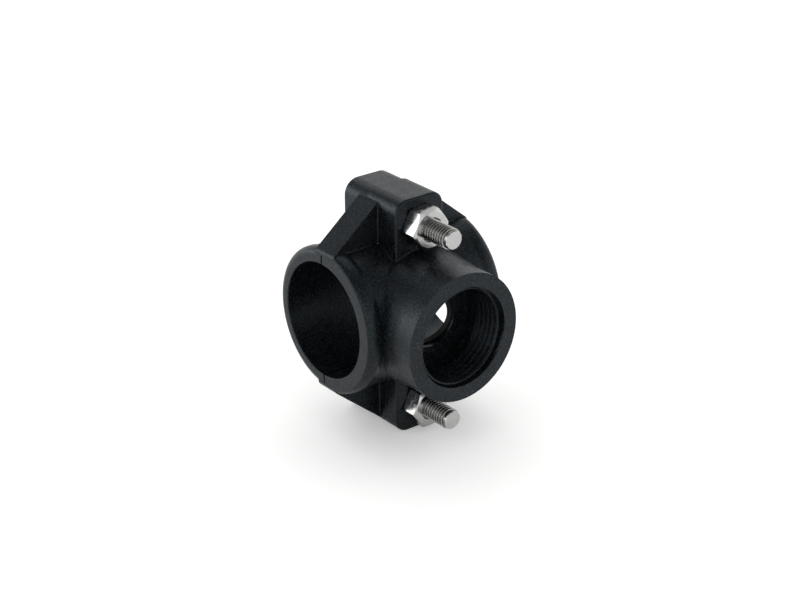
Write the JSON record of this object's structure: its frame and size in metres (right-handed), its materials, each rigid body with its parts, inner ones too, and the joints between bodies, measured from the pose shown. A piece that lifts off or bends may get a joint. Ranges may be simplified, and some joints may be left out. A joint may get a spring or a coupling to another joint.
{
  "type": "tapping saddle",
  "caption": "Bolted two-piece clamp saddle that grips a plastic pipe and gives it a female threaded side outlet.",
  "frame": {"origin": "where the pipe's axis and the outlet's axis cross", "axes": "+X along the pipe, -Y along the outlet towards its mouth, +Z from the lower bolt to the upper one"},
  "size_m": [0.0564, 0.0645, 0.0846],
  "materials": {
    "black_plastic": "moulded, fine grain",
    "rubber": "moulded rubber",
    "steel": "bright plated"
  },
  "bodies": {
    "saddle": {"outlet_saddle": "black_plastic", "gasket": "rubber"},
    "clamp": {"clamp_back": "black_plastic", "bolt_upper": "steel", "bolt_lower": "steel"},
    "upper_nut": {"nut_upper": "steel"},
    "lower_nut": {"nut_lower": "steel"}
  },
  "joints": [
    {"name": "clamp_opening", "type": "slide", "parent": "saddle", "child": "clamp", "axis": [0, 1, 0], "range_m": [0, 0.01]},
    {"name": "upper_nut_turn", "type": "hinge", "parent": "saddle", "child": "upper_nut", "pos_m": [0, -0.0194, 0.03265], "axis": [0, -1, 0], "range_deg": [0, 2881]},
    {"name": "lower_nut_turn", "type": "hinge", "parent": "saddle", "child": "lower_nut", "pos_m": [0, -0.0194, -0.03265], "axis": [0, -1, 0], "range_deg": [0, 2881]}
  ],
  "couplings": [
    {"joint": "upper_nut_turn", "follows": "clamp_opening", "rad_per_m": 5026.5},
    {"joint": "lower_nut_turn", "follows": "clamp_opening", "rad_per_m": 5026.5}
  ]
}
